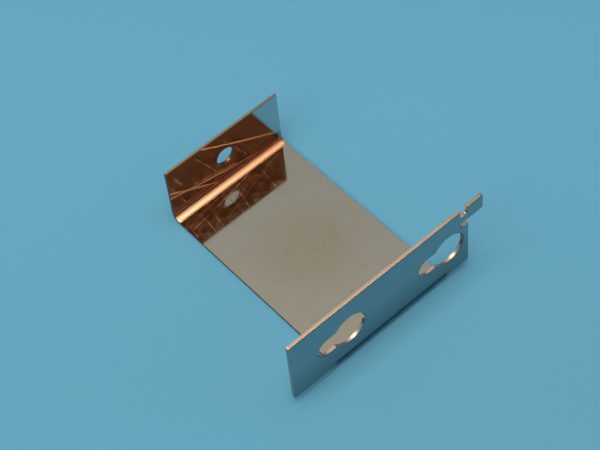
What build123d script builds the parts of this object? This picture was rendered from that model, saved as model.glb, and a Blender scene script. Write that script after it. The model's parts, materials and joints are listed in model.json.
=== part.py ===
from build123d import *

import os
from math import sqrt

# Stamped metal bracket: one sheet, pierced, sheared and folded into a channel.
#
# Frame: +Z up, origin at the middle of the base's underside. +X runs along both flanges
# towards the tab, +Y runs from the front flange to the rear flange. Millimetres.

# Sheet and folds
sheet_thickness = 0.8
inner_bend_radius = 1.6

# Base
base_width = 31.8
overall_depth = 54.5          # outside of the front flange to outside of the rear flange

# Front flange, with a free wing beyond each end of the base
front_flange_height = 21.2    # above the underside
left_wing_length = 11.7
right_wing_length = 6.5
wing_clearance = 1.75         # lower edge of the wings above the underside

# Keyholes, head to the right of the slot
keyhole_head_diameter = 8.8
keyhole_slot_width = 5.2
keyhole_travel = 5.9          # head centre to the end centre of the slot
keyhole_left_margin = 9.9     # left end of the flange to the left slot's end centre
keyhole_right_margin = 6.0    # right head's centre to the right end of the flange
keyhole_drop = 0.4            # below the middle of the wings' height
keyhole_corner_radius = 0.4   # where a slot runs into its head

# Tab on the front flange's upper right corner
tab_reach = 4.2               # beyond the end of the flange
tab_height = 4.4
tab_corner_radius = 0.5
neck_inset = 2.4              # end of the flange back to the neck
top_notch_width = 1.9
top_notch_depth = 2.2
top_notch_corner_radius = 0.3
side_notch_height = 1.6

# Rear flange
rear_flange_height = 16.6     # above the underside
rear_hole_diameter = 4.8
rear_hole_drop = 0.5          # below the middle of the flat wall

# Sheared edges and free corners
edge_roll_radius = 0.15       # rolled over by the punch, on the outside of the folds
corner_radius = 0.3
position_tolerance = 0.01     # for picking edges and faces by where they lie

# Derived places
outer_bend_radius = inner_bend_radius + sheet_thickness
front_y = -overall_depth / 2
rear_y = overall_depth / 2
base_left = -base_width / 2
base_right = base_width / 2
flange_left = base_left - left_wing_length
flange_right = base_right + right_wing_length

keyhole_z = (front_flange_height + wing_clearance) / 2 - keyhole_drop
left_head_x = flange_left + keyhole_left_margin + keyhole_travel
right_head_x = flange_right - keyhole_right_margin
keyhole_head_xs = (left_head_x, right_head_x)

slot_mouth_inset = sqrt((keyhole_head_diameter / 2) ** 2 - (keyhole_slot_width / 2) ** 2)

tab_right = flange_right + tab_reach
flange_ends = ((flange_left, base_left), (base_right, tab_right))
tab_bottom = front_flange_height - tab_height
neck_left = flange_right - neck_inset
side_notch_radius = side_notch_height / 2
side_notch_z = tab_bottom - side_notch_radius

rear_hole_z = (rear_flange_height + outer_bend_radius) / 2 - rear_hole_drop


def around(place):
    """The narrow range of positions that counts as one place."""
    return place - position_tolerance, place + position_tolerance


def corner_edges(part, x, z):
    """The edges through the sheet at one corner of a flange."""
    across = part.edges().filter_by(Axis.Y)
    return across.filter_by_position(Axis.X, *around(x)).filter_by_position(Axis.Z, *around(z))


def is_outer_fold(face):
    """Whether a round face is the outside of a fold, which turns about X."""
    turns_about_x = face.axis_of_rotation.is_parallel(Axis.X)
    return turns_about_x and abs(face.radius - outer_bend_radius) < position_tolerance


def outer_rim(part):
    """The outline and hole edges of the sheet's outer skin, where the punch went in."""
    flats = part.faces().filter_by(GeomType.PLANE)
    skin = [
        *flats.filter_by_position(Axis.Y, *around(front_y)),
        *flats.filter_by_position(Axis.Y, *around(rear_y)),
        *flats.filter_by_position(Axis.Z, *around(0)),
        *filter(is_outer_fold, part.faces().filter_by(GeomType.CYLINDER)),
    ]
    edges = [edge for face in skin for edge in face.edges()]
    return [edge for edge in edges if edges.count(edge) == 1]


with BuildPart() as bracket:
    # Folded channel of constant section, as long as the front flange and its tab
    with BuildSketch(Plane.YZ.offset(flange_left)) as section:
        with BuildLine() as section_outline:
            outer_skin = FilletPolyline(
                (front_y, front_flange_height),
                (front_y, 0),
                (rear_y, 0),
                (rear_y, rear_flange_height),
                radius=outer_bend_radius,
            )
            inner_skin = FilletPolyline(
                (front_y + sheet_thickness, front_flange_height),
                (front_y + sheet_thickness, sheet_thickness),
                (rear_y - sheet_thickness, sheet_thickness),
                (rear_y - sheet_thickness, rear_flange_height),
                radius=inner_bend_radius,
            )
            Line(outer_skin @ 0, inner_skin @ 0)
            Line(outer_skin @ 1, inner_skin @ 1)
        make_face()
    extrude(amount=tab_right - flange_left)

    # The base and the rear flange stop short of both ends of the front flange
    with BuildSketch() as base_trim:
        for end_left, end_right in flange_ends:
            with Locations((end_left, front_y + outer_bend_radius)):
                Rectangle(
                    end_right - end_left,
                    overall_depth - outer_bend_radius,
                    align=(Align.MIN, Align.MIN),
                )
    extrude(amount=rear_flange_height, mode=Mode.SUBTRACT)

    # So does the front fold, below the wings
    with BuildSketch() as fold_trim:
        for end_left, end_right in flange_ends:
            with Locations((end_left, front_y)):
                Rectangle(
                    end_right - end_left,
                    outer_bend_radius,
                    align=(Align.MIN, Align.MIN),
                )
    extrude(amount=wing_clearance, mode=Mode.SUBTRACT)

    # Sheet cut away under the tab, and the notches above and below its neck
    with BuildSketch(Plane.XZ.offset(-front_y)) as tab_trim:
        with Locations((flange_right, 0)):
            Rectangle(tab_reach, tab_bottom, align=(Align.MIN, Align.MIN))
        with Locations((neck_left, front_flange_height)):
            Rectangle(top_notch_width, top_notch_depth, align=(Align.MIN, Align.MAX))
        notch_floor_z = front_flange_height - top_notch_depth
        notch_floor = tab_trim.vertices().filter_by_position(Axis.Y, *around(notch_floor_z))
        fillet(notch_floor, radius=top_notch_corner_radius)
        with Locations((neck_left + side_notch_radius, side_notch_z)):
            Circle(side_notch_radius)
            Rectangle(neck_inset, side_notch_height, align=(Align.MIN, Align.CENTER))
    extrude(amount=-outer_bend_radius, mode=Mode.SUBTRACT)

    # Keyholes: a round head with a slot running out of its left side
    with BuildSketch(Plane.XZ.offset(-front_y)) as keyholes:
        for head_x in keyhole_head_xs:
            with Locations((head_x - keyhole_travel / 2, keyhole_z)):
                SlotCenterToCenter(keyhole_travel, keyhole_slot_width)
            with Locations((head_x, keyhole_z)):
                Circle(keyhole_head_diameter / 2)
            slot_mouth_x = head_x - slot_mouth_inset
            slot_mouth = keyholes.vertices().filter_by_position(Axis.X, *around(slot_mouth_x))
            fillet(slot_mouth, radius=keyhole_corner_radius)
    extrude(amount=-sheet_thickness, mode=Mode.SUBTRACT)

    # Round hole in the middle of the rear flange
    with BuildSketch(Plane.XZ.offset(-rear_y)) as rear_hole:
        with Locations((0, rear_hole_z)):
            Circle(rear_hole_diameter / 2)
    extrude(amount=sheet_thickness, mode=Mode.SUBTRACT)

    # Free corners of the flanges and of the tab
    for corner_x, corner_z, radius in (
        (flange_left, front_flange_height, corner_radius),
        (flange_left, wing_clearance, corner_radius),
        (flange_right, wing_clearance, corner_radius),
        (tab_right, tab_bottom, tab_corner_radius),
        (tab_right, front_flange_height, tab_corner_radius),
        (base_left, rear_flange_height, corner_radius),
        (base_right, rear_flange_height, corner_radius),
    ):
        fillet(corner_edges(bracket, corner_x, corner_z), radius=radius)

    # The punch rolls the outer skin's edges over and leaves the inner skin's sharp
    fillet(outer_rim(bracket), radius=edge_roll_radius)

bracket.part.label = "bracket"
os.makedirs("parts", exist_ok=True)
export_step(bracket.part, "parts/bracket.step")
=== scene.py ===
"""Stamped metal bracket: the finish of the folded sheet, and a small table-top studio around it."""

import json
import math
from types import SimpleNamespace

import bpy
from mathutils import Matrix, Vector

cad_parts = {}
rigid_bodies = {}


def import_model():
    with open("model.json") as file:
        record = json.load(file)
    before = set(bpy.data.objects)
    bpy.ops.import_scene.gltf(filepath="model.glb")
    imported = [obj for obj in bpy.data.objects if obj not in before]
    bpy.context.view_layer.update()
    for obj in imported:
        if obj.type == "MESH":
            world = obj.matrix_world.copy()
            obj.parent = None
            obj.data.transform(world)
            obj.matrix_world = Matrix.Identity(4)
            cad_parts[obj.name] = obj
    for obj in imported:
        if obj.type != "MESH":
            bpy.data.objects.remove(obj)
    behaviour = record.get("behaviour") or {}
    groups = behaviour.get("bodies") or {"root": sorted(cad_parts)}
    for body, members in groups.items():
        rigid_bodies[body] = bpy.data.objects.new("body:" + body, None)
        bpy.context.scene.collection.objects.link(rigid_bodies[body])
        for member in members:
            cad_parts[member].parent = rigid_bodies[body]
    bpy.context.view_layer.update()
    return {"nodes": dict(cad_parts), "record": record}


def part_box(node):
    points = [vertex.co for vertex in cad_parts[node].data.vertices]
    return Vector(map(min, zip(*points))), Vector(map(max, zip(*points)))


for leftover in list(bpy.data.objects):
    bpy.data.objects.remove(leftover)

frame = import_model()
mounts = {mount["name"]: mount for mount in frame["record"]["mounts"]}

SHEET = "bracket"
MM_PER_M = 1000.0
sheet_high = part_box(SHEET)[1]

bl_info = {
    "name": "Stamped Metal Bracket",
    "version": (1, 0, 0),
    "blender": (4, 5, 0),
    "location": "View3D > Sidebar > Bracket",
    "description": "Finishes a folded sheet steel bracket and sets up a table-top studio for it",
    "category": "Object",
}


# ---------------------------------------------------------------- shader maths


# A Mix node's sockets for colours, by place, because its sockets for numbers have the same names.
MIX_FACTOR, MIX_LOW, MIX_HIGH, MIX_RESULT = 0, 6, 7, 2


class Wire:
    """One output of a node, on which sums can be written."""

    def __init__(self, bench, socket):
        self.bench = bench
        self.socket = socket

    def __add__(self, other):
        return self.bench.calculate("ADD", self, other)

    def __sub__(self, other):
        return self.bench.calculate("SUBTRACT", self, other)

    def __mul__(self, other):
        return self.bench.calculate("MULTIPLY", self, other)

    def __truediv__(self, other):
        return self.bench.calculate("DIVIDE", self, other)

    def __radd__(self, other):
        return self.bench.calculate("ADD", other, self)

    def __rsub__(self, other):
        return self.bench.calculate("SUBTRACT", other, self)

    def __rmul__(self, other):
        return self.bench.calculate("MULTIPLY", other, self)

    def __rtruediv__(self, other):
        return self.bench.calculate("DIVIDE", other, self)

    def __neg__(self):
        return self.bench.calculate("SUBTRACT", 0.0, self)

    def __abs__(self):
        return self.bench.calculate("ABSOLUTE", self)


class Bench:
    """The node tree of a material or a world, cleared and ready to build on."""

    def __init__(self, owner):
        owner.use_nodes = True
        self.tree = owner.node_tree
        self.tree.nodes.clear()

    def node(self, kind, settings=None, inputs=None):
        """Adds a node, sets it up, then fills its inputs, and gives the node back."""
        made = self.tree.nodes.new(kind)
        for name, value in (settings or {}).items():
            setattr(made, name, value)
        for place, value in (inputs or {}).items():
            self.feed(made.inputs[place], value)
        return made

    def feed(self, socket, value):
        if isinstance(value, Wire):
            self.tree.links.new(value.socket, socket)
        else:
            socket.default_value = value

    def out(self, made, place=0):
        return Wire(self, made.outputs[place])

    def calculate(self, operation, *values):
        """A sum on numbers."""
        return self.out(self.node("ShaderNodeMath", {"operation": operation}, dict(enumerate(values))))

    def calculate_vector(self, operation, *values, result="Vector"):
        """A sum on vectors, which gives a vector or a number."""
        made = self.node("ShaderNodeVectorMath", {"operation": operation}, dict(enumerate(values)))
        return self.out(made, result)

    def least(self, first, second):
        return self.calculate("MINIMUM", first, second)

    def most(self, first, second):
        return self.calculate("MAXIMUM", first, second)

    def ramp_up(self, value, start, end):
        """0 below start, 1 above end and smooth between."""
        made = self.node(
            "ShaderNodeMapRange",
            {"interpolation_type": "SMOOTHSTEP"},
            {"Value": value, "From Min": start, "From Max": end, "To Min": 0.0, "To Max": 1.0},
        )
        return self.out(made)

    def ramp_down(self, value, start, end):
        """1 below start, 0 above end and smooth between."""
        return 1.0 - self.ramp_up(value, start, end)

    def blend(self, factor, low, high):
        """Mixes two colours."""
        made = self.node(
            "ShaderNodeMix",
            {"data_type": "RGBA", "clamp_factor": True},
            {MIX_FACTOR: factor, MIX_LOW: low, MIX_HIGH: high},
        )
        return self.out(made, MIX_RESULT)

    def distance(self, first, second):
        """Length of the slope whose legs are two numbers."""
        return self.calculate("SQRT", first * first + second * second)

    def split(self, vector):
        made = self.node("ShaderNodeSeparateXYZ", None, {"Vector": vector})
        return [self.out(made, axis) for axis in range(3)]

    def along(self, place, direction, start):
        """How far a place lies past start in a direction, in the place's own unit."""
        reach = self.calculate_vector("DOT_PRODUCT", place, tuple(direction), result="Value")
        return reach - direction.dot(start)

    def noise(self, place, scale, detail, roughness, distortion=0.0):
        made = self.node(
            "ShaderNodeTexNoise",
            None,
            {
                "Vector": place,
                "Scale": scale,
                "Detail": detail,
                "Roughness": roughness,
                "Distortion": distortion,
            },
        )
        return self.out(made)


def colour(channels):
    """A colour with no transparency, as a node's socket takes it."""
    return (*channels, 1.0)


# ---------------------------------------------------------------- what a user may change


class SheetSizes(bpy.types.PropertyGroup):
    thickness: bpy.props.FloatProperty(
        name="Sheet thickness",
        description="Thickness of the steel sheet",
        default=0.0008,
        unit="LENGTH",
        subtype="DISTANCE",
    )
    bend_radius: bpy.props.FloatProperty(
        name="Inner bend radius",
        description="Radius on the inside of both folds",
        default=0.0016,
        unit="LENGTH",
        subtype="DISTANCE",
    )
    half_depth: bpy.props.FloatProperty(
        name="Half the depth",
        description="From the middle of the base to the outer face of a flange",
        default=sheet_high.y,
        unit="LENGTH",
        subtype="DISTANCE",
    )
    half_width: bpy.props.FloatProperty(
        name="Half the base's width",
        description="From the middle of the base to either of its ends",
        default=0.0159,
        unit="LENGTH",
        subtype="DISTANCE",
    )
    height: bpy.props.FloatProperty(
        name="Front flange height",
        description="From the underside of the base to the top of the front flange",
        default=sheet_high.z,
        unit="LENGTH",
        subtype="DISTANCE",
    )
    slot_width: bpy.props.FloatProperty(
        name="Keyhole slot width",
        description="Width of the narrow part of both keyholes",
        default=0.0052,
        unit="LENGTH",
        subtype="DISTANCE",
    )


class SteelFinish(bpy.types.PropertyGroup):
    steel: bpy.props.FloatVectorProperty(
        name="Bright steel",
        description="Colour of the polished skin of the sheet",
        default=(0.54, 0.555, 0.55),
        size=3,
        subtype="COLOR",
    )
    sheared_steel: bpy.props.FloatVectorProperty(
        name="Sheared steel",
        description="Colour of the cut edges",
        default=(0.57, 0.57, 0.59),
        size=3,
        subtype="COLOR",
    )
    outer_steel: bpy.props.FloatVectorProperty(
        name="Outer steel",
        description="Colour of the duller skin on the outside of the bracket",
        default=(0.33, 0.385, 0.40),
        size=3,
        subtype="COLOR",
    )
    # Painted shade: darkens the outer skin towards a flange's foot and dims a fold's bright band at its
    # right tip
    painted_shade_steel: bpy.props.FloatVectorProperty(
        name="Painted shade steel",
        description="Colour of the outer skin near the foot of a flange",
        default=(0.23, 0.28, 0.30),
        size=3,
        subtype="COLOR",
    )
    # Partly painted shade: a darker copy of the sheared steel for the cut edges at the rear, at both ends
    # and on the underside
    dull_and_shaded_edge: bpy.props.FloatVectorProperty(
        name="Dull and shaded edge",
        description="Colour of the cut edges at the rear and at the left end",
        default=(0.38, 0.41, 0.36),
        size=3,
        subtype="COLOR",
    )
    # Painted shade: the darkest cut edges, at the rear, in the rear hole and low in the keyholes
    painted_edge_shade: bpy.props.FloatVectorProperty(
        name="Painted edge shade",
        description="Colour of the shaded cut edges at the rear and low in the keyholes",
        default=(0.16, 0.11, 0.09),
        size=3,
        subtype="COLOR",
    )
    # Painted shade: a thin dark line along the keyhole rims and the front flange's top edge, in place of
    # the dark reflection in the punch's rolled edge
    painted_rim_shade: bpy.props.FloatVectorProperty(
        name="Painted rim shade",
        description="Colour of the thin dark line where the punch rolled the outer skin over an edge",
        default=(0.06, 0.09, 0.11),
        size=3,
        subtype="COLOR",
    )
    scuffed_steel: bpy.props.FloatVectorProperty(
        name="Scuffed steel",
        description="Colour of the dark scuffs on the base, in front of the rear flange",
        default=(0.29, 0.245, 0.215),
        size=3,
        subtype="COLOR",
    )
    stained_steel: bpy.props.FloatVectorProperty(
        name="Stained steel",
        description="Colour of the faint brownish clouds on the base",
        default=(0.50, 0.47, 0.40),
        size=3,
        subtype="COLOR",
    )
    # Partly painted glint: scratches and the haze round them take the orange of a warm lamp's glint
    scratch_and_glint_steel: bpy.props.FloatVectorProperty(
        name="Scratch and glint steel",
        description="Colour of the raw metal in a scratch and in the haze round it",
        default=(0.60, 0.38, 0.25),
        size=3,
        subtype="COLOR",
    )
    # Partly painted highlight: the satin skin in the folds is brighter and warmer than the flat skin; the
    # base's specks take this colour too
    folded_steel_and_highlight: bpy.props.FloatVectorProperty(
        name="Folded steel and highlight",
        description="Colour of the bright satin skin inside the folds",
        default=(0.80, 0.64, 0.54),
        size=3,
        subtype="COLOR",
    )
    # Painted shade: the dark brown above a fold's bright band, where the metal mirrors dark surroundings
    painted_crease_shade: bpy.props.FloatVectorProperty(
        name="Painted crease shade",
        description="Colour of the dark crease above a fold's bright band",
        default=(0.085, 0.042, 0.028),
        size=3,
        subtype="COLOR",
    )
    # Painted light: the palest part of a fold's bright band, at its left end, and the lifted heel of the
    # front fold
    painted_fold_light: bpy.props.FloatVectorProperty(
        name="Painted fold light",
        description="Colour of the satin skin at the folds' left end and on the front fold's heel",
        default=(0.94, 0.92, 0.88),
        size=3,
        subtype="COLOR",
    )
    # Painted highlight: the warm orange fringe along the top of a fold's bright band
    painted_fringe_highlight: bpy.props.FloatVectorProperty(
        name="Painted fringe highlight",
        description="Colour of the thin brown line along the top of a fold's bright band",
        default=(0.70, 0.27, 0.12),
        size=3,
        subtype="COLOR",
    )
    # Painted shade: the dark blue band outside the front fold stands in for the shaded paper that the fold
    # mirrors
    painted_fold_shade: bpy.props.FloatVectorProperty(
        name="Painted fold shade",
        description="Colour of the dark band rubbed along the outside of the front fold",
        default=(0.002, 0.06, 0.10),
        size=3,
        subtype="COLOR",
    )
    polish: bpy.props.FloatProperty(
        name="Skin roughness",
        description="Roughness of the flat polished skin",
        default=0.07,
        subtype="FACTOR",
    )
    fold_roughness: bpy.props.FloatProperty(
        name="Fold roughness",
        description="Roughness of the bright bands inside the folds",
        default=0.50,
        subtype="FACTOR",
    )
    edge_roughness: bpy.props.FloatProperty(
        name="Edge roughness",
        description="Roughness of the cut edges",
        default=0.36,
        subtype="FACTOR",
    )


class StudioSettings(bpy.types.PropertyGroup):
    floor_colour: bpy.props.FloatVectorProperty(
        name="Floor",
        description="Colour of the pale paper that the bracket stands on",
        default=(0.131, 0.385, 0.530),
        size=3,
        subtype="COLOR",
    )
    floor_size: bpy.props.FloatProperty(
        name="Floor width",
        description="Width of the square of paper",
        default=4.0,
        unit="LENGTH",
        subtype="DISTANCE",
    )
    top_power: bpy.props.FloatProperty(
        name="Top lamp",
        description="Power of the long soft lamp overhead",
        default=8.3,
        unit="POWER",
    )
    window_power: bpy.props.FloatProperty(
        name="Window lamp",
        description="Power of the warm lamp behind and to the left, which glints on the cut edges",
        default=3.2,
        unit="POWER",
    )
    desk_power: bpy.props.FloatProperty(
        name="Desk lamp",
        description="Power of the warm lamp overhead and to the right, which shows in the folds",
        default=1.6,
        unit="POWER",
    )
    front_power: bpy.props.FloatProperty(
        name="Front lamp",
        description="Power of the warm lamp in front and to the left, which shows in the rear fold",
        default=2.4,
        unit="POWER",
    )
    backdrop: bpy.props.FloatVectorProperty(
        name="Backdrop",
        description="Colour of the room low down, all round the table",
        default=(0.20, 0.40, 0.52),
        size=3,
        subtype="COLOR",
    )
    ceiling: bpy.props.FloatVectorProperty(
        name="Ceiling",
        description="Colour of the room overhead",
        default=(0.43, 0.41, 0.355),
        size=3,
        subtype="COLOR",
    )
    ceiling_glow: bpy.props.FloatVectorProperty(
        name="Ceiling glow",
        description="Colour of the warm patch straight above the table",
        default=(0.80, 0.66, 0.46),
        size=3,
        subtype="COLOR",
    )
    dark_side: bpy.props.FloatVectorProperty(
        name="Dark side",
        description="Colour of the room to the right",
        default=(0.04, 0.10, 0.16),
        size=3,
        subtype="COLOR",
    )
    front_board: bpy.props.FloatVectorProperty(
        name="Front board",
        description="Colour of the dark warm board in front, which the rear flange mirrors",
        default=(0.215, 0.066, 0.024),
        size=3,
        subtype="COLOR",
    )
    fill: bpy.props.FloatVectorProperty(
        name="Fill",
        description="Colour of the weak light that the room throws on the paper",
        default=(0.20, 0.22, 0.25),
        size=3,
        subtype="COLOR",
    )
    lens: bpy.props.FloatProperty(
        name="Focal length",
        description="Focal length on a 36 mm wide sensor, in millimetres",
        default=106.02,
        unit="CAMERA",
    )
    distance: bpy.props.FloatProperty(
        name="Camera distance",
        description="From the camera to the point it looks at",
        default=0.38141,
        unit="LENGTH",
        subtype="DISTANCE",
    )
    aim: bpy.props.FloatVectorProperty(
        name="Camera aim",
        description="The point that the camera looks at",
        default=(-0.000233, 0.001309, 0.008),
        size=3,
        unit="LENGTH",
        subtype="XYZ",
    )
    azimuth: bpy.props.FloatProperty(
        name="Camera azimuth",
        description="Turn of the camera round the bracket",
        default=math.radians(-36.070),
        unit="ROTATION",
        subtype="ANGLE",
    )
    elevation: bpy.props.FloatProperty(
        name="Camera elevation",
        description="Height of the camera above the horizon",
        default=math.radians(54.405),
        unit="ROTATION",
        subtype="ANGLE",
    )
    roll: bpy.props.FloatProperty(
        name="Camera roll",
        description="Tilt of the camera about its own line of sight",
        default=math.radians(-6.897),
        unit="ROTATION",
        subtype="ANGLE",
    )


# ---------------------------------------------------------------- the sheet's finish

# Scratches: start, end, bow sideways, half width and strength. All but the strength are in millimetres.
# On the rear flange a place is (x, z), seen from the front, and on the base it is (x, y), seen from above.
REAR_SCRATCHES = (
    ((-17.6, 8.5), (12.0, 1.6), 0.30, 0.32, 1.125),
    ((-17.8, 11.0), (-2.2, 1.8), 0.20, 0.32, 1.125),
    ((-7.2, 17.4), (14.8, 4.5), 0.25, 0.32, 1.125),
    ((-8.7, 16.3), (-2.6, 5.2), -0.20, 0.24, 0.325),
    ((2.4, 10.8), (6.1, 3.9), 0.0, 0.24, 0.25),
    ((-14.9, 15.6), (-11.6, 8.6), 0.0, 0.20, 0.275),
    ((-13.8, 6.6), (-11.9, 3.0), 0.0, 0.20, 0.15),
    ((6.8, 8.0), (9.4, 3.7), 0.0, 0.20, 0.225),
)
BASE_SCRATCHES = (
    ((-16.4, 20.9), (5.1, 24.5), 0.20, 0.17, 0.30),
    ((-10.8, 24.3), (-11.8, 16.4), 0.0, 0.18, 0.30),
    ((-8.5, 22.6), (-9.7, 16.4), 0.1, 0.16, 0.25),
    ((-0.7, 22.8), (-2.1, 16.4), 0.0, 0.18, 0.30),
    ((7.1, 24.0), (6.0, 16.4), 0.15, 0.18, 0.275),
    ((0.5, 24.0), (0.1, 19.0), 0.0, 0.14, 0.15),
    ((-14.7, 24.0), (-15.6, 18.0), 0.0, 0.16, 0.30),
    ((4.2, 22.1), (8.6, 19.0), 0.1, 0.14, 0.225),
    ((7.5, 19.0), (12.0, 21.7), 0.0, 0.14, 0.225),
    ((-12.6, 21.0), (-13.1, 17.4), 0.0, 0.14, 0.175),
)
FADE_IN = 2.5       # millimetres from a scratch's start to its full strength
FADE_OUT = 1.5      # millimetres from its full strength to its end
SHARPNESS = 0.15    # share of its half width that keeps the full strength

# Each pair below is where a mark starts to change and where it has changed fully, in millimetres.
# Past the fold lines, towards a flange
FLANGE_PAST = (0.8, 1.2)
BAND_PAST = (-0.58, -0.08)
# Below the height at which the folds end
# Painted shade above a fold's bright band
CREASE_SHADE_BELOW = (-2.1, -1.3)
LINE_BELOW = (0.15, 0.35)
BAND_BELOW = (0.82, 1.12)
# Above the underside
HEEL_TOP = (1.4, 1.8)
# Painted shade band outside the front fold, which also roughens it
RUB_SHADE_BOTTOM = (1.6, 2.0)
RUB_SHADE_TOP = (3.1, 3.6)
FOOT_TOP = (1.0, 14.0)
# From the middle of the base: outwards, to the rear and to the right
CLOUD_EDGE = (7.0, 20.0)
WORN_REAR = (16.9, 21.2)
WORN_RIGHT = (7.0, 13.0)
# Outwards from a keyhole
RIM_EDGE = (0.08, 0.35)

# Each pair below is a share of a cloudy pattern's full value instead.
STAINED_MOTTLE = (0.50, 0.75)
SCUFFED_CLUMPS = (0.40, 0.56)
HAZY_CLUMPS = (0.47, 0.60)
SPECKED = (0.76, 0.84)
UNEVEN = (0.30, 0.60)

# How strongly each mark colours the skin
MOTTLED_STAIN = 0.35
CLOUD_STAIN = 0.60
SCUFF_TINT = 0.75
HAZE_TINT = 0.45
SPECK_TINT = 0.35
# Painted shade along the keyhole rims and the top edge
RIM_SHADE_TINT = 0.70
# Painted shade at the right tip of a fold's bright band
SHADED_TIP_TINT = 0.80
SHADED_WALL_TINT = 0.85
# Painted shade on the cut edges at the right end
DULL_AND_SHADED_RIGHT_END_TINT = 0.60

# How much each mark adds to the roughness
MOTTLE_ROUGHNESS = 0.04
SCRATCH_ROUGHNESS = 0.56
ROUGHEST_SCRATCH = 0.42
HAZE_ROUGHNESS = 0.10
RUB_ROUGHNESS = 0.12
HEEL_ROUGHNESS = 0.40
UNDERSIDE_ROUGHNESS = 0.45
REAR_END_ROUGHNESS = 0.035

RIPPLE_HEIGHT = 0.006    # millimetres
SCRATCH_LEAN = -0.25     # added to the normal's z in a scratch on the rear flange


def sheet_zones(bench, sizes):
    """Places on the sheet in millimetres, and masks for its skins, its flat faces and its cut edges.

    past is how far a place lies beyond the fold lines towards a flange, and below how far it lies
    under the height at which the folds end. through is 0 at the inner skin and 1 at the outer one.
    """
    thickness = sizes.thickness * MM_PER_M
    inner_radius = sizes.bend_radius * MM_PER_M
    outer_radius = inner_radius + thickness
    fold_y = sizes.half_depth * MM_PER_M - outer_radius

    spot = bench.node("ShaderNodeTexCoord")
    to_millimetres = (MM_PER_M, MM_PER_M, MM_PER_M)
    place = bench.calculate_vector("MULTIPLY", bench.out(spot, "Object"), to_millimetres)
    x, y, z = bench.split(place)
    _, facing_y, facing_z = bench.split(bench.out(spot, "Normal"))

    past = abs(y) - fold_y
    below = outer_radius - z
    outward = bench.most(past, 0.0)
    downward = bench.most(below, 0.0)
    depth = bench.distance(outward, downward)
    facing = (facing_y * bench.calculate("SIGN", y) * outward - facing_z * downward) / depth
    skin = bench.ramp_up(abs(facing), 0.45, 0.9)
    inner = bench.ramp_up(-facing, 0.0, 0.4)
    return SimpleNamespace(
        place=place,
        across=x,
        along=y,
        height=z,
        up=facing_z,
        past=past,
        below=below,
        through=(depth - inner_radius) / thickness,
        inner=inner,
        outer=(1.0 - inner) * skin,
        cut=1.0 - skin,
        base=bench.ramp_down(outward, 0.0, 0.2) * inner,
        rear=bench.ramp_up(y, 20.0, 24.0) * bench.ramp_down(downward, 0.0, 0.2) * inner,
        front=bench.ramp_up(-y, 20.0, 24.0),
        mottle=bench.noise(place, scale=0.22, detail=4.0, roughness=0.6),
        half_width=sizes.half_width * MM_PER_M,
        top=sizes.height * MM_PER_M,
    )


def fold_masks(bench, zone):
    """The bands along the folds: a satin band with a painted highlight, its painted warm fringe, the
    painted shade above it, and outside the front fold a painted shade band and a heel lifted with painted
    light.
    """
    on_flange = bench.ramp_up(zone.past, *FLANGE_PAST) * zone.inner
    under_line = bench.ramp_up(zone.below, *LINE_BELOW)
    right_tip = bench.ramp_up(zone.across, zone.half_width - 1.3, zone.half_width - 0.5)
    beside_base = bench.ramp_down(abs(zone.across), zone.half_width - 0.1, zone.half_width + 0.4)
    front_skin = zone.front * zone.outer
    return SimpleNamespace(
        band=bench.ramp_up(zone.past, *BAND_PAST) * bench.ramp_up(zone.below, *BAND_BELOW) * zone.inner,
        # Painted highlight fringe along the top of the bright band
        fringe_highlight=under_line * on_flange,
        # Painted shade above the bright band
        crease_shade=bench.ramp_up(zone.below, *CREASE_SHADE_BELOW)
        * (1.0 - under_line)
        * (1.0 - right_tip * 0.6)
        * on_flange,
        # Painted shade band outside the front fold, which also roughens it
        rub_and_shade=bench.ramp_up(zone.height, *RUB_SHADE_BOTTOM)
        * bench.ramp_down(zone.height, *RUB_SHADE_TOP)
        * beside_base
        * front_skin,
        heel=bench.ramp_down(zone.height, *HEEL_TOP) * front_skin,
    )


def scratched(bench, place, scratches, spread, facing):
    """How strongly a place is scratched: each scratch fades at both ends and bows a little."""
    total = 0.0
    for start, end, bow, half_width, strength in scratches:
        begin = spread(*start)
        run = spread(*end) - begin
        length = run.length
        ahead = run.normalized()
        reach = bench.along(place, ahead, begin)
        offset = bench.along(place, ahead.cross(facing), begin)
        if bow:
            offset = offset - reach * (length - reach) * (4.0 * bow / length**2)
        ends = bench.ramp_up(reach, 0.0, FADE_IN) * bench.ramp_down(reach, length - FADE_OUT, length)
        line = bench.ramp_down(abs(offset), SHARPNESS * half_width, half_width)
        total = total + line * ends * strength
    return total


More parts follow.
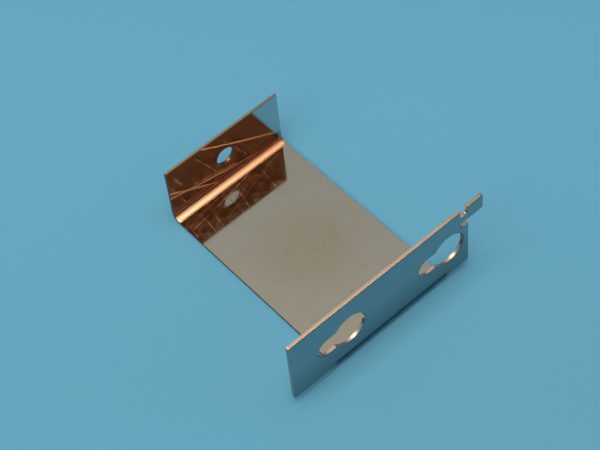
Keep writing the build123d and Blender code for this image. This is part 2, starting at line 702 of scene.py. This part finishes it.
def wear_masks(bench, zone):
    """The scratches, stains, scuffs, haze and specks that use left on the inner skin."""
    rear_scratches = scratched(
        bench, zone.place, REAR_SCRATCHES, lambda x, z: Vector((x, 0.0, z)), Vector((0.0, -1.0, 0.0))
    )
    base_scratches = scratched(
        bench, zone.place, BASE_SCRATCHES, lambda x, y: Vector((x, y, 0.0)), Vector((0.0, 0.0, 1.0))
    )
    patches = bench.noise(zone.place, scale=0.45, detail=3.0, roughness=0.6)
    unevenness = bench.ramp_up(patches, *UNEVEN) * 0.6
    on_rear = rear_scratches * zone.rear * (unevenness + 0.4)
    on_base = base_scratches * zone.base * (unevenness + 0.8)

    from_middle = bench.distance(zone.across, zone.along)
    cloud = bench.ramp_down(from_middle + zone.mottle * 8.0, *CLOUD_EDGE)
    mottled = bench.ramp_up(zone.mottle, *STAINED_MOTTLE)
    clumps = bench.noise(zone.place, scale=0.45, detail=5.0, roughness=0.65, distortion=0.6)
    worn_base = (
        bench.ramp_up(zone.along + zone.mottle * 3.0, *WORN_REAR)
        * bench.ramp_down(zone.across, *WORN_RIGHT)
        * zone.base
    )
    grain = bench.noise(zone.place, scale=1.1, detail=0.0, roughness=0.5)
    return SimpleNamespace(
        rear_scratch=on_rear,
        scratch=on_rear + on_base,
        stain=(mottled * MOTTLED_STAIN + cloud * CLOUD_STAIN) * zone.base,
        scuff=bench.ramp_down(clumps, *SCUFFED_CLUMPS) * worn_base,
        haze=bench.ramp_up(clumps, *HAZY_CLUMPS) * worn_base,
        speck=bench.ramp_up(grain, *SPECKED) * zone.base,
    )


def keyhole_gap(bench, zone, side, slot_width):
    """How far a place on the front flange lies outside a keyhole, in millimetres."""
    head = mounts[side + "_keyhole_head"]
    head_x, _, head_z = [coordinate * MM_PER_M for coordinate in head["pos_m"]]
    slot_end_x = mounts[side + "_keyhole_slot"]["pos_m"][0] * MM_PER_M
    rise = zone.height - head_z
    from_head = bench.distance(zone.across - head_x, rise) - head["dims"]["r_mm"]
    nearest_x = bench.least(bench.most(zone.across, slot_end_x), head_x)
    from_slot = bench.distance(zone.across - nearest_x, rise) - slot_width / 2.0
    return bench.least(from_head, from_slot)


def inner_tone(bench, zone, wear, finish):
    """Colour of the flat inner skin, without its scratches."""
    tone = bench.blend(wear.stain, colour(finish.steel), colour(finish.stained_steel))
    tone = bench.blend(wear.scuff * SCUFF_TINT, tone, colour(finish.scuffed_steel))
    # Haze tinted with the painted warm glint
    tone = bench.blend(wear.haze * HAZE_TINT, tone, colour(finish.scratch_and_glint_steel))
    return bench.blend(wear.speck * SPECK_TINT, tone, colour(finish.folded_steel_and_highlight))


def outer_tone(bench, zone, sizes, finish):
    """Colour of the outer skin, with painted shade that darkens it towards the foot, and a thin painted
    dark line where the punch rolled an edge over.
    """
    slot_width = sizes.slot_width * MM_PER_M
    left_gap, right_gap = [keyhole_gap(bench, zone, side, slot_width) for side in ("left", "right")]
    # Painted shade along the keyhole rims and the front flange's top edge
    rim_shade = bench.most(
        bench.ramp_down(bench.least(left_gap, right_gap), *RIM_EDGE),
        bench.ramp_up(zone.height, zone.top - 0.45, zone.top - 0.10),
    )
    foot = bench.ramp_down(zone.height, *FOOT_TOP)
    # Painted shade, darker towards the foot
    tone = bench.blend(foot, colour(finish.outer_steel), colour(finish.painted_shade_steel))
    return bench.blend(rim_shade * zone.front * RIM_SHADE_TINT, tone, colour(finish.painted_rim_shade))


def band_tone(bench, zone, finish):
    """Colour of the bright band inside a fold, with a painted highlight at its pale left end and painted
    shade at its right tip.
    """
    rightward = bench.ramp_up(zone.across, -19.0, 15.0)
    right_tip = bench.ramp_up(zone.across, zone.half_width - 0.9, zone.half_width - 0.1)
    # Painted highlight, palest at the band's left end
    tone = bench.blend(rightward, colour(finish.painted_fold_light), colour(finish.folded_steel_and_highlight))
    # Painted shade at the band's right tip
    return bench.blend(right_tip * SHADED_TIP_TINT, tone, colour(finish.painted_shade_steel))


def cut_tone(bench, zone, underside, finish):
    """Colour of the cut edges: bright in front and on top, and duller elsewhere, with painted shade."""
    left_end = bench.ramp_down(zone.across, 0.1 - zone.half_width, 0.5 - zone.half_width)
    left_end = left_end * bench.ramp_down(zone.up, 0.2, 0.6)
    right_end = bench.ramp_up(zone.across, 13.0, 21.0) * DULL_AND_SHADED_RIGHT_END_TINT
    # Duller edges with painted shade: at the left end, at the rear, on the underside and at the right end
    dull_and_shaded = bench.most(left_end, 1.0 - zone.front)
    dull_and_shaded = bench.most(dull_and_shaded, underside)
    dull_and_shaded = bench.most(dull_and_shaded, right_end)
    lit_top = (
        bench.ramp_up(zone.through, 0.10, 0.55)
        * bench.ramp_up(zone.up, 0.90, 0.97)
        * bench.ramp_up(zone.height, 14.0, 15.5)
    )
    shaded_wall = (
        zone.front
        * bench.ramp_down(zone.up, 0.36, 0.62)
        * bench.ramp_up(zone.across, -20.0, -19.0)
        * SHADED_WALL_TINT
    )
    # Painted shade on the rear cut edges and the low keyhole walls, but not on the lit top edge
    shade = (1.0 - zone.front) * (1.0 - lit_top) + shaded_wall
    tone = bench.blend(dull_and_shaded, colour(finish.sheared_steel), colour(finish.dull_and_shaded_edge))
    return bench.blend(shade, tone, colour(finish.painted_edge_shade))


def sheet_roughness(bench, zone, fold, wear, underside, finish):
    """The skin's own roughness, with what each mark adds to it."""
    rear_ends = zone.rear * bench.ramp_up(abs(zone.across - 2.0), 3.0, 16.0)
    return (
        finish.polish
        + (zone.mottle - 0.5) * MOTTLE_ROUGHNESS
        + fold.band * (finish.fold_roughness - finish.polish)
        + rear_ends * REAR_END_ROUGHNESS
        + fold.heel * HEEL_ROUGHNESS
        + fold.rub_and_shade * RUB_ROUGHNESS
        + wear.haze * HAZE_ROUGHNESS
        + zone.cut * (finish.edge_roughness - finish.polish + underside * UNDERSIDE_ROUGHNESS)
        + bench.least(wear.scratch * SCRATCH_ROUGHNESS, ROUGHEST_SCRATCH)
    )


def sheet_bump(bench, zone, wear):
    """A faint ripple of the whole sheet, and rear scratches whose shine tips downwards."""
    lean = bench.node(
        "ShaderNodeCombineXYZ", None, {"Z": bench.least(wear.rear_scratch, 1.0) * SCRATCH_LEAN}
    )
    normal = bench.out(bench.node("ShaderNodeNewGeometry"), "Normal")
    tipped = bench.calculate_vector("NORMALIZE", bench.calculate_vector("ADD", normal, bench.out(lean)))
    ripple = bench.noise(zone.place, scale=0.12, detail=2.0, roughness=0.4)
    bump = bench.node(
        "ShaderNodeBump",
        None,
        {
            "Strength": 1.0,
            "Distance": 1.0 / MM_PER_M,
            "Height": ripple * RIPPLE_HEIGHT,
            "Normal": tipped,
        },
    )
    return bench.out(bump)


def make_bright_steel(sizes, finish):
    material = bpy.data.materials.new("bright_steel")
    bench = Bench(material)
    zone = sheet_zones(bench, sizes)
    fold = fold_masks(bench, zone)
    wear = wear_masks(bench, zone)
    underside = bench.ramp_up(-zone.up, -0.05, 0.20)
    layers = (
        (zone.outer, outer_tone(bench, zone, sizes, finish)),
        # Painted shade above a fold's bright band
        (fold.crease_shade, colour(finish.painted_crease_shade)),
        # Scratches, coloured with their painted warm glint
        (bench.least(wear.scratch, 1.0), colour(finish.scratch_and_glint_steel)),
        # Painted highlight fringe
        (fold.fringe_highlight, colour(finish.painted_fringe_highlight)),
        # Satin band with painted highlight
        (fold.band, band_tone(bench, zone, finish)),
        # Painted shade outside the front fold
        (fold.rub_and_shade, colour(finish.painted_fold_shade)),
        # Painted light: the pale colour lifts the heel, which mirrors shaded paper
        (fold.heel, colour(finish.painted_fold_light)),
        # Cut edges, with painted light and shade
        (zone.cut, cut_tone(bench, zone, underside, finish)),
    )
    tone = inner_tone(bench, zone, wear, finish)
    for mask, layer in layers:
        tone = bench.blend(mask, tone, layer)
    shader = bench.node(
        "ShaderNodeBsdfPrincipled",
        None,
        {
            "Base Color": tone,
            "Metallic": 1.0,
            "Roughness": sheet_roughness(bench, zone, fold, wear, underside, finish),
            "Normal": sheet_bump(bench, zone, wear),
        },
    )
    bench.node("ShaderNodeOutputMaterial", None, {"Surface": bench.out(shader)})
    return material


class BRACKET_OT_finish_sheet(bpy.types.Operator):
    """Gives the folded sheet its bright steel, with cut edges, folds with painted light and shade, and
    scratches
    """

    bl_idname = "bracket.finish_sheet"
    bl_label = "Finish the sheet"

    def execute(self, context):
        sheet = frame["nodes"][SHEET]
        steel = make_bright_steel(context.scene.bracket_sizes, context.scene.bracket_finish)
        for slot in sheet.material_slots:
            slot.material = steel
        return {"FINISHED"}


# ---------------------------------------------------------------- floor, lamps and camera

FLOOR_DROP = 0.00002    # metres, so that the paper and the base's underside don't share a plane
# Painted light and shade on the paper, which brightens slowly from the near left to the far right
PAINTED_LIGHT_PAPER = 1.09     # times the floor's colour, at the far right
PAINTED_SHADE_PAPER = 0.95    # at the near left
SENSOR_WIDTH = 36.0     # millimetres


def make_paper(studio):
    """Matt paper with fine fibres, faint clouds and painted light that brightens it slowly from the near
    left to the far right.
    """
    paper = bpy.data.materials.new("pale_paper")
    bench = Bench(paper)
    spot = bench.out(bench.node("ShaderNodeTexCoord"), "Object")
    fibre = bench.noise(spot, scale=900.0, detail=4.0, roughness=0.6)
    cloud = bench.noise(spot, scale=9.0, detail=2.0, roughness=0.5)
    rightward, rearward, _ = bench.split(spot)
    # Painted light: the paper is lighter towards the far right
    tone = bench.blend(
        fibre * 0.25 + cloud * 0.2 + bench.ramp_up(rightward + rearward, -0.06, 0.07) * 0.6,
        colour(channel * PAINTED_SHADE_PAPER for channel in studio.floor_colour),
        colour(channel * PAINTED_LIGHT_PAPER for channel in studio.floor_colour),
    )
    shader = bench.node(
        "ShaderNodeBsdfPrincipled", None, {"Base Color": tone, "Roughness": 0.9, "Specular IOR Level": 0.2}
    )
    bench.node("ShaderNodeOutputMaterial", None, {"Surface": bench.out(shader)})
    return paper


def lay_floor(studio):
    half = studio.floor_size / 2.0
    mesh = bpy.data.meshes.new("paper_floor")
    corners = [(-half, -half, 0.0), (half, -half, 0.0), (half, half, 0.0), (-half, half, 0.0)]
    mesh.from_pydata(corners, [], [(0, 1, 2, 3)])
    mesh.materials.append(make_paper(studio))
    floor = bpy.data.objects.new("paper_floor", mesh)
    floor.location.z = -FLOOR_DROP
    bpy.context.collection.objects.link(floor)


def hang_lamp(name, direction, distance, size, power, tint, on_metal):
    """Hangs a lamp that faces the bracket and lights either the metal or the paper."""
    lamp = bpy.data.lights.new(name, "AREA")
    lamp.shape = "RECTANGLE"
    lamp.size, lamp.size_y = size
    lamp.energy = power
    lamp.color = tint
    holder = bpy.data.objects.new(name, lamp)
    toward = Vector(direction).normalized()
    across = Vector((0.0, 1.0, 0.0)).cross(toward).normalized()
    turn = Matrix((across, toward.cross(across), toward)).transposed().to_4x4()
    holder.matrix_world = Matrix.Translation(toward * distance) @ turn
    holder.visible_glossy = on_metal
    holder.visible_diffuse = not on_metal
    bpy.context.collection.objects.link(holder)


def hang_lamps(studio):
    hang_lamp(
        "top_lamp",
        direction=(-0.35, -0.08, 0.94),
        distance=0.8,
        size=(1.6, 0.50),
        power=studio.top_power,
        tint=(1.0, 0.97, 0.93),
        on_metal=False,
    )
    hang_lamp(
        "window_lamp",
        direction=(-0.25, 0.42, 0.87),
        distance=0.9,
        size=(0.34, 0.34),
        power=studio.window_power,
        tint=(1.0, 0.62, 0.34),
        on_metal=True,
    )
    hang_lamp(
        "desk_lamp",
        direction=(0.22, -0.10, 0.95),
        distance=0.7,
        size=(0.38, 0.22),
        power=studio.desk_power,
        tint=(1.0, 0.46, 0.20),
        on_metal=True,
    )
    hang_lamp(
        "front_lamp",
        direction=(-0.20, -0.56, 0.80),
        distance=0.8,
        size=(0.24, 0.24),
        power=studio.front_power,
        tint=(1.0, 0.62, 0.34),
        on_metal=True,
    )


def paint_room(studio):
    """The room round the table, as the camera and the metal see it, and a plain fill for the paper."""
    room = bpy.data.worlds.new("studio_room")
    bench = Bench(room)
    way = bench.out(bench.node("ShaderNodeTexCoord"), "Generated")
    across, along, height = bench.split(way)
    overhead = bench.calculate_vector("DOT_PRODUCT", way, (-0.05, 0.10, 0.99), result="Value")
    board = bench.ramp_up(-along, 0.12, 0.42) * bench.ramp_up(height, 0.03, 0.12)
    layers = (
        (bench.ramp_up(height, 0.20, 0.62), studio.ceiling),
        (bench.ramp_up(overhead, 0.78, 1.0), studio.ceiling_glow),
        (bench.ramp_up(across, 0.48, 0.62), studio.dark_side),
        (board, studio.front_board),
    )
    tone = colour(studio.backdrop)
    for mask, layer in layers:
        tone = bench.blend(mask, tone, colour(layer))
    path = bench.node("ShaderNodeLightPath")
    seen = bench.out(path, "Is Camera Ray") + bench.out(path, "Is Glossy Ray")
    seen = seen + bench.out(path, "Is Transmission Ray")
    tone = bench.blend(seen, colour(studio.fill), tone)
    background = bench.node("ShaderNodeBackground", None, {"Color": tone, "Strength": 1.0})
    bench.node("ShaderNodeOutputWorld", None, {"Surface": bench.out(background)})
    bpy.context.scene.world = room


def place_camera(studio):
    camera = bpy.data.cameras.new("camera")
    camera.sensor_width = SENSOR_WIDTH
    camera.lens = studio.lens
    camera.clip_start, camera.clip_end = 0.01, 20.0
    holder = bpy.data.objects.new("camera", camera)
    back = Vector(
        (
            math.sin(studio.azimuth) * math.cos(studio.elevation),
            -math.cos(studio.azimuth) * math.cos(studio.elevation),
            math.sin(studio.elevation),
        )
    )
    turn = (-back).to_track_quat("-Z", "Y").to_matrix().to_4x4()
    place = Matrix.Translation(Vector(studio.aim) + back * studio.distance)
    holder.matrix_world = place @ turn @ Matrix.Rotation(studio.roll, 4, "Z")
    bpy.context.collection.objects.link(holder)
    bpy.context.scene.camera = holder


class BRACKET_OT_set_stage(bpy.types.Operator):
    """Lays the pale floor, hangs the lamps, paints the room and places the camera"""

    bl_idname = "bracket.set_stage"
    bl_label = "Set the stage"

    def execute(self, context):
        studio = context.scene.bracket_studio
        lay_floor(studio)
        hang_lamps(studio)
        paint_room(studio)
        place_camera(studio)
        context.scene.view_settings.view_transform = "Standard"
        return {"FINISHED"}


# ---------------------------------------------------------------- sidebar


class BRACKET_PT_sidebar(bpy.types.Panel):
    """Lists what can be changed on the bracket and in its studio"""

    bl_idname = "BRACKET_PT_sidebar"
    bl_label = "Stamped bracket"
    bl_space_type = "VIEW_3D"
    bl_region_type = "UI"
    bl_category = "Bracket"

    def draw(self, context):
        scene = context.scene
        for group in (scene.bracket_sizes, scene.bracket_finish, scene.bracket_studio):
            box = self.layout.box()
            for name in group.__annotations__:
                box.prop(group, name)
        for operator in (BRACKET_OT_finish_sheet, BRACKET_OT_set_stage):
            self.layout.operator(operator.bl_idname)


CLASSES = (
    SheetSizes,
    SteelFinish,
    StudioSettings,
    BRACKET_OT_finish_sheet,
    BRACKET_OT_set_stage,
    BRACKET_PT_sidebar,
)


def register():
    for each in CLASSES:
        bpy.utils.register_class(each)
    bpy.types.Scene.bracket_sizes = bpy.props.PointerProperty(type=SheetSizes)
    bpy.types.Scene.bracket_finish = bpy.props.PointerProperty(type=SteelFinish)
    bpy.types.Scene.bracket_studio = bpy.props.PointerProperty(type=StudioSettings)


def unregister():
    del bpy.types.Scene.bracket_studio
    del bpy.types.Scene.bracket_finish
    del bpy.types.Scene.bracket_sizes
    for each in reversed(CLASSES):
        bpy.utils.unregister_class(each)


def main():
    register()
    bpy.ops.bracket.finish_sheet()
    bpy.ops.bracket.set_stage()


if __name__ == "__main__":
    main()
